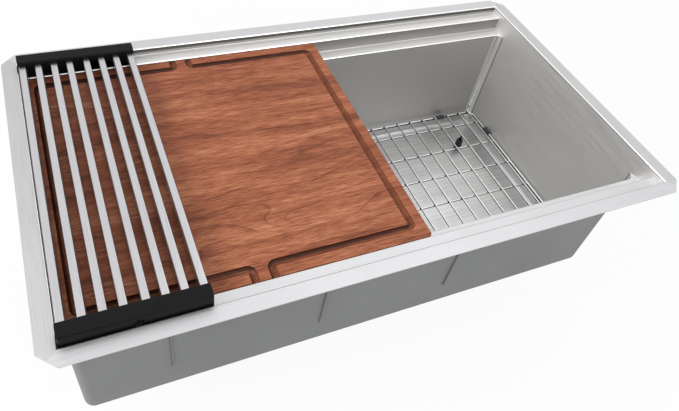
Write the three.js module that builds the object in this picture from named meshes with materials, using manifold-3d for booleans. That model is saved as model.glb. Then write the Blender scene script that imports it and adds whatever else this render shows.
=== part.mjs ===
// Workstation kitchen sink: a folded steel basin with two ledges along its front and its rear, and what
// lies in it: a folding drying rack, a cutting board, a bottom grid and a drain with its strainer basket.
// Millimetres. x runs along the sink, y towards its rear, z up. The flange's top face is z = 0.

import * as THREE from 'three';
import { mergeVertices } from 'three/addons/utils/BufferGeometryUtils.js';
import Module from 'manifold-3d';

const wasm = await Module();
wasm.setup();

// ---------- Driving dimensions ----------

// Between two pieces that touch.
const gap = 0.3;

// Facets round the drain's turned pieces.
const turnedFacets = 24;

// Basin.
const sheet = 1.5; // steel sheet
const foldRadius = 0.8; // inside a fold
const flangeLength = 838.2;
const flangeDepth = 482.6;
const flangeWidth = 20.5;
const flangeChamfer = 19;
const upperLedgeDrop = 11.5; // below the flange
const upperLedgeWidth = 19.8;
const lowerLedgeDrop = 22; // below the upper ledge
const lowerLedgeWidth = 19.7;
const lipSkirt = 1; // straight sheet below the last fold
const bowlDepth = 241.5; // flange to floor
const cornerRadius = 12; // inside, between two bowl walls
const cornerTail = 1; // straight sheet past a corner
const floorRadius = 10; // inside, between a wall and the floor

// Stiffening fins on the front and rear bowl walls.
const finThickness = 1.5;
const finTopWidth = 7;
const finTipWidth = 1;
const finLength = 152;
const finCount = 4;
const finPitch = 201;
const firstFin = -288.5;

// Sound-deadening pads under the floor.
const padThickness = 4;
const padDepth = 230;
const padInnerEnd = 78;
const padMargin = 60; // to the floor's rounded edge
const padCorner = 15;

// Drain.
const drainHoleRadius = 44.5;
const drainFlangeRadius = 56.5;
const drainFlangeThickness = 1.8;
const recessDepth = 3;
const recessMargin = 1.5; // round the drain's flange
const recessTaper = 2.5;
const cupRadius = 43.5; // outside
const cupWall = 1.5;
const cupDepth = 42;
const outletRadius = 19;
const tailWall = 2.2;
const tailLength = 42; // from the cup's floor
const neckLength = 9; // the cup's own part of it
const crossBarWidth = 3;
const crossBarHeight = 4;
const gasketThickness = 3;
const frictionRingThickness = 1;
const nutHeight = 10;
const nutWall = 5;
const nutLugs = 6;
const nutLugWidth = 12;

// Strainer basket.
const basketClearance = 1.5; // to the cup
const basketHeight = 24;
const basketTaper = 4;
const basketWall = 0.9;
const basketSlots = 12;
const basketSlotWidth = 3;
const postRadius = 3;
const collarRadius = 6.5;
const knobRadius = 10;
const knobHeight = 7;
const stopperRadius = 24;
const stopperThickness = 5;

// Cutting board.
const boardLength = 430.8;
const boardSideClearance = 0.8; // to the wall behind the lower ledge
const boardEndClearance = 0.6; // to the end wall
const boardBelowTrack = 1; // board's top below the upper ledge
const boardCorner = 12;
const boardEdge = 1.2;
const grooveWidth = 7;
const grooveDepth = 4.5;
const grooveEndInset = 18.4; // groove's middle to the board's ends
const grooveSideInset = 18.9; // groove's middle to the board's front and rear
const grooveTurn = 2.5; // inside radius where it turns
const spoutSpacing = 22.8; // between the two loops' outlets

// Folding rack.
const barWidth = 8;
const barHeight = 17.5;
const barWall = 1;
const barCorner = 1.2;
const barsPerHalf = 4;
const barPitch = 19.75;
const foldPitch = 22.1; // across the fold
const tenon = 12; // bar's end inside its rail
const railSideClearance = 0.5; // to the wall behind the upper ledge
const railLipClearance = 0.3; // back from the upper ledge's lip
const railEndClearance = 0.6; // to the end wall
const railRise = 0.6; // over the upper ledge
const railUnderBar = 2.2;
const railOverBar = 5.5;
const railEndMargin = 1.5; // past the last bar
const railCorner = 3;
const railEdge = 1.2;
const railStep = 0.6; // the foot is set back by this
const railFootHeight = 13.5;
const railFootChamfer = 1.2;
const foldSlotWidth = 8.5;
const foldWeb = 6; // left over the slot

// Bottom grid.
const gridHeight = 29.5; // floor to the middle of the frame's wire
const gridHalfDepth = 172.5;
const gridCorner = 15;
const frameWireRadius = 2.5;
const wireRadius = 1.6;
const wireSink = 0.3; // how far welded wires press into each other
const barWirePitch = 27.88;
const crossWirePitch = 56.5;
const crossWires = 6;
const edgeWireInset = 10.5; // from the frame's end wires
const ringRadius = 50;
const ringWireRadius = 2;
const legRadius = 2;
const footRadius = 7;
const footTopRadius = 6;
const footHeight = 22;
const footSole = 9;
const footWireFromEnd = 1; // pitches in from the last short wire
const footInset = 60.5; // from the frame's front and rear wires
const bumperRadius = 4.3;
const bumperBore = 3.2;
const bumperLength = 18;
const bumperWireFromEnd = 1.5;

// ---------- Levels and faces worked out from them ----------

const flangeHalfLength = flangeLength / 2;
const flangeHalfDepth = flangeDepth / 2;
const endWall = flangeHalfLength - flangeWidth; // inner faces, as distances from the middle
const upperWall = flangeHalfDepth - flangeWidth;
const lowerWall = upperWall - upperLedgeWidth;
const bowlWall = lowerWall - lowerLedgeWidth;
const upperLedge = -upperLedgeDrop;
const lowerLedge = upperLedge - lowerLedgeDrop;
const floor = -bowlDepth;
const railFoot = lowerLedge - foldRadius - sheet - lipSkirt;
const wallTop = railFoot - gap;
const panTop = floor + floorRadius;
const cornerEnd = bowlWall - cornerRadius - cornerTail;

const recessFloor = floor - recessDepth;
const drainSeat = recessFloor + gap;
const cupFloor = drainSeat - cupDepth;
const cupInside = cupRadius - cupWall;
const neckEnd = cupFloor - neckLength;
const tailEnd = cupFloor - tailLength;

const rackHalfLength = foldPitch / 2 + (barsPerHalf - 1) * barPitch + barWidth / 2 + railEndMargin;
const rackMiddle = -endWall + railEndClearance + rackHalfLength;
const railInner = lowerWall + railLipClearance;
const railOuter = upperWall - railSideClearance;
const railBottom = upperLedge + railRise;
const barBottom = railBottom + railUnderBar;
const barTop = barBottom + barHeight;
const railTop = barTop + railOverBar;

const frameLevel = floor + gridHeight;
const barWireLevel = frameLevel + frameWireRadius + wireRadius - wireSink;
const crossWireLevel = barWireLevel - 2 * wireRadius + wireSink;
const gridHalfLength = endWall - gap - bumperRadius;
const lastBarWire = Math.floor((gridHalfLength - edgeWireInset - 4 * wireRadius) / barWirePitch);

// ---------- Materials ----------

function finish(color, roughness, metalness) {
  return () => new THREE.MeshStandardMaterial({ color, roughness, metalness });
}
const brushedSteel = finish('#b9bbbc', 0.35, 1);
const polishedSteel = finish('#d5d6d7', 0.15, 1);
const blackPlastic = finish('#1d1d1f', 0.55, 0);
const wood = finish('#a9624a', 0.5, 0);
const greyRubber = finish('#4a4b4d', 0.8, 0);
const blackRubber = finish('#1b1b1b', 0.8, 0);
const fibre = finish('#c9b48a', 0.9, 0);

// ---------- Joining and cutting ----------

function toSolid(geometry) {
  const bare = geometry.clone();
  bare.deleteAttribute('normal');
  bare.deleteAttribute('uv');
  const welded = mergeVertices(bare, 1e-4);
  const vertProperties = new Float32Array(welded.attributes.position.array);
  const triVerts = new Uint32Array(welded.index.array);
  return new wasm.Manifold(new wasm.Mesh({ numProp: 3, vertProperties, triVerts }));
}

function toGeometry(solid) {
  const mesh = solid.getMesh();
  const geometry = new THREE.BufferGeometry();
  geometry.setAttribute('position', new THREE.BufferAttribute(mesh.vertProperties, 3));
  geometry.setIndex(new THREE.BufferAttribute(mesh.triVerts, 1));
  geometry.computeVertexNormals();
  return geometry;
}

function join(...geometries) {
  return toGeometry(geometries.map(toSolid).reduce((all, next) => all.add(next)));
}

function cut(geometry, ...tools) {
  return toGeometry(tools.map(toSolid).reduce((left, tool) => left.subtract(tool), toSolid(geometry)));
}

function common(...geometries) {
  return toGeometry(geometries.map(toSolid).reduce((all, next) => all.intersect(next)));
}

// ---------- Outlines and sweeps ----------

function point(x, y) {
  return new THREE.Vector2(x, y);
}

// The outline of a strip that turns square corners. `spine` holds the sharp corners of its near face,
// the far face lies `thickness` to the left, and `radius` is the radius inside each turn.
function bentStrip(spine, thickness, radius, steps = 3) {
  const heading = (i) => spine[i + 1].clone().sub(spine[i]).normalize();
  const toLeft = (direction) => point(-direction.y, direction.x).multiplyScalar(thickness);
  const last = spine.length - 1;
  const near = [spine[0].clone()];
  const far = [spine[0].clone().add(toLeft(heading(0)))];
  for (let i = 1; i < last; i++) {
    const into = heading(i - 1);
    const out = heading(i);
    const turnsLeft = into.cross(out) > 0;
    const nearRadius = turnsLeft ? radius + thickness : radius;
    const farRadius = turnsLeft ? radius : radius + thickness;
    const centre = spine[i].clone().addScaledVector(into, -nearRadius).addScaledVector(out, nearRadius);
    for (let step = 0; step <= steps; step++) {
      const angle = (step / steps) * (Math.PI / 2);
      const spoke = out.clone().multiplyScalar(-Math.cos(angle)).addScaledVector(into, Math.sin(angle));
      near.push(centre.clone().addScaledVector(spoke, nearRadius));
      far.push(centre.clone().addScaledVector(spoke, farRadius));
    }
  }
  near.push(spine[last].clone());
  far.push(spine[last].clone().add(toLeft(heading(last - 1))));
  return new THREE.Shape([...near, ...far.reverse()]);
}

function polygon(...corners) {
  return new THREE.Shape(corners.map(([x, y]) => point(x, y)));
}

// A polygon given by its right half, from bottom to top, and mirrored in the y axis.
function mirrored(...corners) {
  const left = corners.map(([x, y]) => [-x, y]).reverse();
  return polygon(...corners, ...left);
}

function roundedRectangle(halfWidth, halfHeight, radius) {
  const shape = new THREE.Shape();
  shape.absarc(halfWidth - radius, halfHeight - radius, radius, 0, Math.PI / 2);
  shape.absarc(radius - halfWidth, halfHeight - radius, radius, Math.PI / 2, Math.PI);
  shape.absarc(radius - halfWidth, radius - halfHeight, radius, Math.PI, 1.5 * Math.PI);
  shape.absarc(halfWidth - radius, radius - halfHeight, radius, 1.5 * Math.PI, 2 * Math.PI);
  shape.closePath();
  return shape;
}

// A plan outline raised from `bottom` to `top`.
function upright(shape, bottom, top, curveSegments = 4) {
  const options = { depth: top - bottom, bevelEnabled: false, curveSegments };
  return new THREE.ExtrudeGeometry(shape, options).translate(0, 0, bottom);
}

// The same with both rims rounded or chamfered by `edge`.
function softUpright(shape, bottom, top, edge, bevelSegments, curveSegments = 4) {
  const options = {
    depth: top - bottom - 2 * edge,
    bevelThickness: edge,
    bevelSize: edge,
    bevelOffset: -edge,
    bevelSegments,
    curveSegments,
  };
  return new THREE.ExtrudeGeometry(shape, options).translate(0, 0, bottom + edge);
}

// An outline in (y, z) drawn out along x, centred on x = 0.
function alongX(shape, length, curveSegments = 4) {
  const options = { depth: length, bevelEnabled: false, curveSegments };
  const geometry = new THREE.ExtrudeGeometry(shape, options).translate(0, 0, -length / 2);
  const [x, y, z] = [new THREE.Vector3(1, 0, 0), new THREE.Vector3(0, 1, 0), new THREE.Vector3(0, 0, 1)];
  return geometry.applyMatrix4(new THREE.Matrix4().makeBasis(y, z, x));
}

// An outline in (x, z) drawn out along y, centred on y = 0.
function alongY(shape, length, curveSegments = 4) {
  const options = { depth: length, bevelEnabled: false, curveSegments };
  return new THREE.ExtrudeGeometry(shape, options).translate(0, 0, -length / 2).rotateX(Math.PI / 2);
}

// A profile of [radius, z] points turned about the z axis.
function turned(profile, segments) {
  const points = profile.map(([radius, z]) => point(radius, z));
  return new THREE.LatheGeometry(points, segments).rotateX(Math.PI / 2);
}

// A ring with a rectangular section, turned about the z axis.
function ring(inner, outer, bottom, top, segments) {
  return turned([[inner, bottom], [outer, bottom], [outer, top], [inner, top], [inner, bottom]], segments);
}

// A box between two values of x, of y and of z, each pair in either order.
function block([x0, x1], [y0, y1], [z0, z1]) {
  const geometry = new THREE.BoxGeometry(Math.abs(x1 - x0), Math.abs(y1 - y0), Math.abs(z1 - z0));
  return geometry.translate((x0 + x1) / 2, (y0 + y1) / 2, (z0 + z1) / 2);
}

// The span of a width about a middle.
function about(middle, width) {
  return [middle - width / 2, middle + width / 2];
}

function disc(radius, bottom, top, segments, topRadius = radius) {
  const geometry = new THREE.CylinderGeometry(topRadius, radius, top - bottom, segments);
  return geometry.rotateX(Math.PI / 2).translate(0, 0, (bottom + top) / 2);
}

// Round wire with six flats, two of them level, along a curve.
function wire(curve, radius, steps = 1) {
  const corners = [];
  for (let i = 0; i < 6; i++) {
    const angle = ((i + 0.5) / 6) * 2 * Math.PI;
    const cornerDistance = radius / Math.cos(Math.PI / 6);
    corners.push(point(cornerDistance * Math.cos(angle), cornerDistance * Math.sin(angle)));
  }
  return new THREE.ExtrudeGeometry(new THREE.Shape(corners), { steps, extrudePath: curve });
}

function straightWire(from, to, radius) {
  return wire(new THREE.LineCurve3(new THREE.Vector3(...from), new THREE.Vector3(...to)), radius);
}

// ---------- Basin ----------

// Where the mitre between two flange strips, drawn from (x, upperWall), meets the chamfered corner.
function mitreEnd(x) {
  const chamferSum = flangeHalfLength + flangeHalfDepth - flangeChamfer;
  const meetingX = (chamferSum - upperWall + x) / 2;
  return [meetingX, chamferSum - meetingX];
}

// The flat that fills one square corner of the lower ledge up to the bowl's round corner.
function ledgeCorner(end) {
  const centreX = end * (endWall - cornerRadius);
  const centreY = bowlWall - cornerRadius;
  const acrossX = [centreX, end * (endWall - gap)];
  const acrossY = [centreY, bowlWall + foldRadius + sheet];
  const round = disc(cornerRadius, railFoot - sheet, lowerLedge + sheet, 24).translate(centreX, centreY, 0);
  return cut(block(acrossX, acrossY, [railFoot, lowerLedge]), round);
}

// The rear rail: flange, upper ledge and lower ledge folded from one strip, its flange mitred.
function ledgeRail() {
  const spine = [
    point(flangeHalfDepth, 0),
    point(upperWall, 0),
    point(upperWall, upperLedge),
    point(lowerWall, upperLedge),
    point(lowerWall, lowerLedge),
    point(bowlWall, lowerLedge),
    point(bowlWall, railFoot),
  ];
  const strip = alongX(bentStrip(spine, sheet, foldRadius), flangeLength);
  const end = endWall - gap;
  const rearEnd = [flangeHalfLength - flangeChamfer, flangeHalfDepth];
  const plan = mirrored([end, 0], [end, upperWall], mitreEnd(end), rearEnd);
  return join(common(strip, upright(plan, railFoot - sheet, sheet)), ledgeCorner(1), ledgeCorner(-1));
}

// The right end wall: a flange strip folded down into a plate that follows the ledges' steps.
function endPlate() {
  const spine = [point(flangeHalfLength, 0), point(endWall, 0), point(endWall, panTop + gap)];
  const strip = alongY(bentStrip(spine, sheet, foldRadius), flangeDepth);
  const [mitreX, mitreY] = mitreEnd(endWall);
  const chamferY = flangeHalfDepth - flangeChamfer;
  const plan = polygon(
    [endWall - sheet, sheet - upperWall],
    [mitreX, -mitreY],
    [flangeHalfLength, -chamferY],
    [flangeHalfLength, chamferY],
    [mitreX, mitreY],
    [endWall - sheet, upperWall - sheet],
  );
  const elevation = mirrored(
    [cornerEnd - gap, floor],
    [cornerEnd - gap, railFoot],
    [lowerWall + sheet, railFoot],
    [lowerWall + sheet, upperLedge - sheet],
    [flangeHalfDepth, upperLedge - sheet],
    [flangeHalfDepth, sheet],
  );
  return common(strip, upright(plan, floor, sheet), alongX(elevation, flangeLength + sheet));
}

// The rear bowl wall, which turns the bowl's two rear corners.
function bowlSide() {
  const spine = [
    point(-endWall, cornerEnd),
    point(-endWall, bowlWall),
    point(endWall, bowlWall),
    point(endWall, cornerEnd),
  ];
  return upright(bentStrip(spine, sheet, cornerRadius, 6), panTop + gap, wallTop);
}

// The floor: a shallow pan with rounded edges and a recess round the drain hole.
function bowlBottom() {
  const outerPlan = roundedRectangle(endWall + sheet, bowlWall + sheet, cornerRadius + sheet);
  const innerPlan = roundedRectangle(endWall, bowlWall, cornerRadius);
  const above = panTop + 3 * floorRadius;
  const outside = softUpright(outerPlan, floor - sheet, above, floorRadius + sheet, 3);
  const inside = softUpright(innerPlan, floor, above + floorRadius, floorRadius, 3);
  const trim = block(about(0, flangeLength), about(0, flangeDepth), [panTop, above + sheet]);
  const recessRadius = drainFlangeRadius + recessMargin;
  const recessTop = recessRadius + recessTaper;
  const dishTop = floor - sheet / 2;
  const dish = disc(recessRadius + sheet, recessFloor - sheet, dishTop, turnedFacets, recessTop + sheet);
  const hollow = disc(recessRadius, recessFloor, floor, turnedFacets, recessTop);
  const mouth = disc(recessTop, floor - foldRadius / 4, floor + sheet, turnedFacets);
  const hole = disc(drainHoleRadius, recessFloor - 2 * sheet, floor, turnedFacets);
  return cut(join(cut(outside, inside, trim), dish), hollow, mouth, hole);
}

// A tapered fin for the rear wall's outside, its root at y = 0 and its top at z = 0.
function fin() {
  const outline = polygon(
    [0, -foldRadius],
    [0, -finLength],
    [finTipWidth, -finLength],
    [finTopWidth, 0],
    [foldRadius, 0],
  );
  return alongX(outline, finThickness);
}

// A pad glued under the right half of the floor.
function soundPad() {
  const length = endWall - floorRadius - padMargin - padInnerEnd;
  const top = floor - sheet - gap;
  const plan = roundedRectangle(length / 2, padDepth / 2, padCorner);
  return upright(plan, top - padThickness, top, 3).translate(padInnerEnd + length / 2, 0, 0);
}

// ---------- Drain ----------

// The flanged cup that hangs in the floor's hole, with a cross in its short neck.
function drainBody() {
  const flangeTop = drainSeat + drainFlangeThickness;
  const shoulder = cupFloor - cupWall;
  const tailOutside = outletRadius + tailWall;
  const cup = turned([
    [drainFlangeRadius, drainSeat],
    [drainFlangeRadius, drainSeat + drainFlangeThickness / 2],
    [drainFlangeRadius - drainFlangeThickness, flangeTop],
    [cupInside + 3, flangeTop],
    [cupInside, flangeTop - 3],
    [cupInside, cupFloor + 6],
    [cupInside - 7, cupFloor],
    [outletRadius + 1, cupFloor],
    [outletRadius, cupFloor - 1],
    [outletRadius, neckEnd],
    [tailOutside, neckEnd],
    [tailOutside, shoulder - 2],
    [tailOutside + 4, shoulder],
    [cupInside - 6, shoulder],
    [cupRadius, cupFloor + 5],
    [cupRadius, drainSeat],
    [drainFlangeRadius, drainSeat],
  ], turnedFacets);
  const across = about(0, 2 * outletRadius + tailWall);
  const wide = about(0, crossBarWidth);
  const high = [cupFloor - 2 - crossBarHeight, cupFloor - 2];
  return join(cup, block(across, wide, high), block(wide, across, high));
}

// A flat ring round the cup, clamped under the floor.
// The tail pipe under the cup's neck.
function drainTail() {
  return ring(outletRadius, outletRadius + tailWall, tailEnd, neckEnd - gap, turnedFacets);
}

function clampedRing(top, thickness) {
  return ring(cupRadius + gap, drainFlangeRadius, top - thickness, top, turnedFacets);
}

// The locknut that pulls the cup down, with lugs for a spanner.
function drainNut(top) {
  const inner = cupRadius + gap;
  const high = [top - nutHeight + 2, top - 2];
  const lugs = [];
  for (let i = 0; i < nutLugs; i++) {
    const lug = block(about(inner + 1.2 * nutWall, 2 * nutWall), about(0, nutLugWidth), high);
    lugs.push(lug.rotateZ((i / nutLugs) * 2 * Math.PI));
  }
  const body = ring(inner, inner + nutWall, top - nutHeight, top, turnedFacets);
  const bore = disc(inner, top - 2 * nutHeight, top + nutHeight, turnedFacets);
  return cut(join(body, ...lugs), bore);
}

// ---------- Strainer basket ----------

const stopperBottom = cupFloor + gap;
const basketRim = drainSeat - 1;
const basketBottom = basketRim - basketHeight;
const basketRadius = cupInside - basketClearance;

// The perforated cup, open in the middle for its post.
function strainerBasket() {
  const bore = postRadius + gap;
  const lowRadius = basketRadius - basketTaper;
  const cup = turned([
    [bore, basketBottom],
    [lowRadius - 2, basketBottom],
    [lowRadius, basketBottom + 2],
    [basketRadius - 1, basketRim - 2],
    [basketRadius, basketRim],
    [basketRadius - 2 * basketWall, basketRim],
    [basketRadius - 1 - basketWall, basketRim - 2 + basketWall],
    [lowRadius - basketWall, basketBottom + 2 + basketWall],
    [lowRadius - 2 - basketWall, basketBottom + basketWall],
    [bore, basketBottom + basketWall],
    [bore, basketBottom],
  ], turnedFacets);
  const width = about(0, basketSlotWidth);
  const slots = [];
  for (let i = 0; i < basketSlots; i++) {
    const angle = (i / basketSlots) * 2 * Math.PI;
    const low = block([collarRadius + 3, lowRadius - 5], width, about(basketBottom, 4 * basketWall));
    const side = block([lowRadius - 4, 2 * basketRadius], width, [basketBottom + 5, basketRim - 6]);
    slots.push(low.rotateZ(angle));
    slots.push(side.rotateZ(angle + Math.PI / basketSlots));
  }
  return cut(cup, ...slots);
}

// The post: a hub between stopper and basket, and a knob to lift them by.
function basketPost() {
  const hubBottom = stopperBottom + stopperThickness + gap;
  const basketTop = basketBottom + basketWall + gap;
  const knobTop = basketRim + 4;
  const knobBottom = knobTop - knobHeight;
  return turned([
    [0, stopperBottom + 1],
    [postRadius, stopperBottom + 1],
    [postRadius, hubBottom],
    [collarRadius, hubBottom],
    [collarRadius, basketBottom - gap],
    [postRadius, basketBottom - gap],
    [postRadius, basketTop],
    [collarRadius, basketTop],
    [collarRadius - 1, basketTop + 2.5],
    [postRadius, basketTop + 3.5],
    [postRadius, knobBottom],
    [knobRadius - 2, knobBottom],
    [knobRadius, knobBottom + 2],
    [knobRadius, knobTop - 2],
    [knobRadius - 2, knobTop],
    [0, knobTop],
  ], 16);
}

// The rubber disc that closes the cup's outlet.
function basketStopper() {
  const bore = postRadius + gap;
  const top = stopperBottom + stopperThickness;
  return turned([
    [bore, stopperBottom],
    [stopperRadius - 2, stopperBottom],
    [stopperRadius, stopperBottom + 1.5],
    [stopperRadius - 1, stopperBottom + 3],
    [collarRadius + 1, top],
    [bore, top],
    [bore, stopperBottom],
  ], turnedFacets);
}

// ---------- Cutting board ----------

// A slab with two loops of groove, mirrored in its middle, that run out of its front and rear edges.
function cuttingBoard() {
  const halfLength = boardLength / 2;
  const halfDepth = lowerWall - boardSideClearance;
  const top = upperLedge - boardBelowTrack;
  const slab = softUpright(
    roundedRectangle(halfLength, halfDepth, boardCorner), lowerLedge + gap, top, boardEdge, 1, 5,
  );
  const outlet = (spoutSpacing - grooveWidth) / 2;
  const end = halfLength - grooveEndInset - grooveWidth / 2;
  const side = halfDepth - grooveSideInset - grooveWidth / 2;
  const past = halfDepth + 1;
  const innerEdge = [
    point(outlet, past),
    point(outlet, side),
    point(end, side),
    point(end, -side),
    point(outlet, -side),
    point(outlet, -past),
  ];
  const loop = upright(bentStrip(innerEdge, grooveWidth, grooveTurn, 4), top - grooveDepth, top + 1);
  const board = cut(slab, loop, loop.clone().rotateZ(Math.PI));
  return board.translate(-endWall + boardEndClearance + halfLength, 0, 0);
}

// ---------- Folding rack ----------

// A bar's distance from the fold, along x.
function barOffset(index) {
  return foldPitch / 2 + index * barPitch;
}

// A flat steel tube, as long as the rack is deep, with its ends in the rails' sockets.
function rackBar() {
  const tube = roundedRectangle(barWidth / 2, barHeight / 2, barCorner);
  const insideWidth = barWidth / 2 - barWall;
  const insideHeight = barHeight / 2 - barWall;
  tube.holes.push(mirrored([insideWidth, -insideHeight], [insideWidth, insideHeight]));
  return alongY(tube, 2 * (railInner + tenon), 2);
}

// Half of the rear rail, on the `end` side of the fold. The rail is slit from below at the fold, and
// what is left over the slit is its hinge.
function rackRail(end) {
  const railMiddle = (railInner + railOuter) / 2;
  const section = polygon(
    [railInner, railBottom + railFootChamfer],
    [railInner + railFootChamfer, railBottom],
    [railOuter - railStep - railFootChamfer, railBottom],
    [railOuter - railStep, railBottom + railFootChamfer],
    [railOuter - railStep, railBottom + railFootHeight],
    [railOuter, railBottom + railFootHeight + railStep],
    [railOuter, railTop - railEdge],
    [railOuter - railEdge, railTop],
    [railInner + railEdge, railTop],
    [railInner, railTop - railEdge],
  );
  const plan = roundedRectangle(rackHalfLength, (railOuter - railInner) / 2, railCorner);
  const outline = upright(plan, railBottom - 1, railTop + 1, 3).translate(0, railMiddle, 0);
  const across = [railInner - 1, railOuter + 1];
  const otherHalf = [end * (gap / 2), -end * (rackHalfLength + 1)];
  const cuts = [
    block(otherHalf, across, [railBottom - 1, railTop + 1]),
    block([0, (end * foldSlotWidth) / 2], across, [railBottom - 1, railTop - foldWeb]),
  ];
  for (let i = 0; i < barsPerHalf; i++) {
    const socket = about(end * barOffset(i), barWidth + 2 * gap);
    cuts.push(block(socket, [railInner - 1, railInner + tenon + gap], [barBottom - gap, barTop + gap]));
  }
  return cut(common(alongX(section, 2 * rackHalfLength), outline), ...cuts);
}

// ---------- Bottom grid ----------

// The frame's wire: four straight sides and four bends.
function gridFrame() {
  const corners = [[1, -1], [1, 1], [-1, 1], [-1, -1]].map(
    ([x, y]) => new THREE.Vector3(x * gridHalfLength, y * gridHalfDepth, frameLevel),
  );
  const quarterHandle = 0.5523 * gridCorner;
  return corners.flatMap((corner, i) => {
    const next = corners[(i + 1) % 4];
    const into = corner.clone().sub(corners[(i + 3) % 4]).normalize();
    const out = next.clone().sub(corner).normalize();
    const start = corner.clone().addScaledVector(into, -gridCorner);
    const end = corner.clone().addScaledVector(out, gridCorner);
    const bendCurve = new THREE.CubicBezierCurve3(
      start,
      start.clone().addScaledVector(into, quarterHandle),
      end.clone().addScaledVector(out, -quarterHandle),
      end,
    );
    const from = end.clone().addScaledVector(out, -wireSink);
    const to = next.clone().addScaledVector(out, wireSink - gridCorner);
    return [wire(bendCurve, frameWireRadius, 4), straightWire(from, to, frameWireRadius)];
  });
}

// The welded grid: long wires under short ones on the frame, and a ring over the drain.
function bottomGrid() {
  const wires = [];
  const reach = gridHalfDepth + frameWireRadius / 2;
  const places = [gridHalfLength - edgeWireInset, edgeWireInset - gridHalfLength];
  for (let i = -lastBarWire; i <= lastBarWire; i++) {
    places.push(i * barWirePitch);
  }
  for (const x of places) {
    wires.push(straightWire([x, -reach, barWireLevel], [x, reach, barWireLevel], wireRadius));
  }
  for (let i = 0; i < crossWires; i++) {
    const y = (i - (crossWires - 1) / 2) * crossWirePitch;
    const end = gridHalfLength;
    wires.push(straightWire([-end, y, crossWireLevel], [end, y, crossWireLevel], wireRadius));
  }
  const ringLevel = (barWireLevel + crossWireLevel) / 2;
  const opening = disc(ringRadius, ringLevel - footHeight, ringLevel + footHeight, 24);
  const drainRing = new THREE.TorusGeometry(ringRadius, ringWireRadius, 6, 24).translate(0, 0, ringLevel);
  return join(cut(join(...wires), opening), drainRing, ...gridFrame());
}

// A leg under a short wire, standing in its foot.
function gridLeg() {
  const top = barWireLevel - wireRadius - gap;
  return straightWire([0, 0, top], [0, 0, floor + footSole + 2 * gap], legRadius);
}

function footPlaces() {
  const x = (lastBarWire - footWireFromEnd) * barWirePitch;
  const y = gridHalfDepth - footInset;
  return [[-x, -y], [0, -y], [x, -y], [-x, y], [0, y], [x, y]];
}

// A rubber foot with a blind hole for its leg, standing on z = 0.
function gridFoot() {
  const bore = legRadius / Math.cos(Math.PI / 6) + gap;
  return turned([
    [0, 0],
    [footRadius - 0.8, 0],
    [footRadius, 0.8],
    [footRadius, 4],
    [footTopRadius, footHeight],
    [bore, footHeight],
    [bore, footSole],
    [0, footSole],
  ], 12);
}

// A rubber sleeve round the frame's wire, along z.
function gridBumper() {
  const half = bumperLength / 2;
  const chamfer = 0.7;
  return turned([
    [bumperBore, -half],
    [bumperRadius - chamfer, -half],
    [bumperRadius, chamfer - half],
    [bumperRadius, half - chamfer],
    [bumperRadius - chamfer, half],
    [bumperBore, half],
    [bumperBore, -half],
  ], 10);
}

// ---------- Assembly ----------

const halfTurn = [0, 0, Math.PI];
const atRest = [0, 0, 0];

function add(parent, name, geometry, material, position = atRest, rotation = atRest) {
  const mesh = new THREE.Mesh(geometry, material());
  mesh.name = name;
  mesh.position.set(...position);
  mesh.rotation.set(...rotation);
  parent.add(mesh);
}

const basin = new THREE.Group();
add(basin, 'rear_ledge_rail', ledgeRail(), brushedSteel);
add(basin, 'front_ledge_rail', ledgeRail(), brushedSteel, atRest, halfTurn);
add(basin, 'right_end_wall', endPlate(), brushedSteel);
add(basin, 'left_end_wall', endPlate(), brushedSteel, atRest, halfTurn);
add(basin, 'rear_bowl_wall', bowlSide(), brushedSteel);
add(basin, 'front_bowl_wall', bowlSide(), brushedSteel, atRest, halfTurn);
add(basin, 'bowl_bottom', bowlBottom(), brushedSteel);
add(basin, 'sound_pad_right', soundPad(), greyRubber);
add(basin, 'sound_pad_left', soundPad(), greyRubber, atRest, halfTurn);
for (let i = 0; i < finCount; i++) {
  const x = firstFin + i * finPitch;
  const y = bowlWall + sheet + gap;
  const z = lowerLedge - sheet - gap;
  add(basin, `front_fin_${i + 1}`, fin(), brushedSteel, [x, -y, z], halfTurn);
  add(basin, `rear_fin_${i + 1}`, fin(), brushedSteel, [x, y, z]);
}

const drain = new THREE.Group();
const gasketTop = recessFloor - sheet - gap;
const frictionTop = gasketTop - gasketThickness - gap;
const nutTop = frictionTop - frictionRingThickness - gap;
add(drain, 'drain_body', drainBody(), polishedSteel);
add(drain, 'drain_tail', drainTail(), polishedSteel);
add(drain, 'drain_gasket', clampedRing(gasketTop, gasketThickness), blackRubber);
add(drain, 'drain_friction_ring', clampedRing(frictionTop, frictionRingThickness), fibre);
add(drain, 'drain_locknut', drainNut(nutTop), polishedSteel);

const strainer = new THREE.Group();
add(strainer, 'strainer_basket', strainerBasket(), polishedSteel);
add(strainer, 'basket_post', basketPost(), polishedSteel);
add(strainer, 'basket_stopper', basketStopper(), blackRubber);

const board = new THREE.Group();
add(board, 'cutting_board', cuttingBoard(), wood);

const rack = new THREE.Group();
rack.position.set(rackMiddle, 0, 0);
add(rack, 'rack_rear_rail_left', rackRail(-1), blackPlastic);
add(rack, 'rack_rear_rail_right', rackRail(1), blackPlastic);
add(rack, 'rack_front_rail_left', rackRail(1), blackPlastic, atRest, halfTurn);
add(rack, 'rack_front_rail_right', rackRail(-1), blackPlastic, atRest, halfTurn);
for (let i = 0; i < barsPerHalf; i++) {
  const barMiddle = (barBottom + barTop) / 2;
  add(rack, `rack_bar_${barsPerHalf - i}`, rackBar(), brushedSteel, [-barOffset(i), 0, barMiddle]);
  add(rack, `rack_bar_${barsPerHalf + 1 + i}`, rackBar(), brushedSteel, [barOffset(i), 0, barMiddle]);
}

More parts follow.
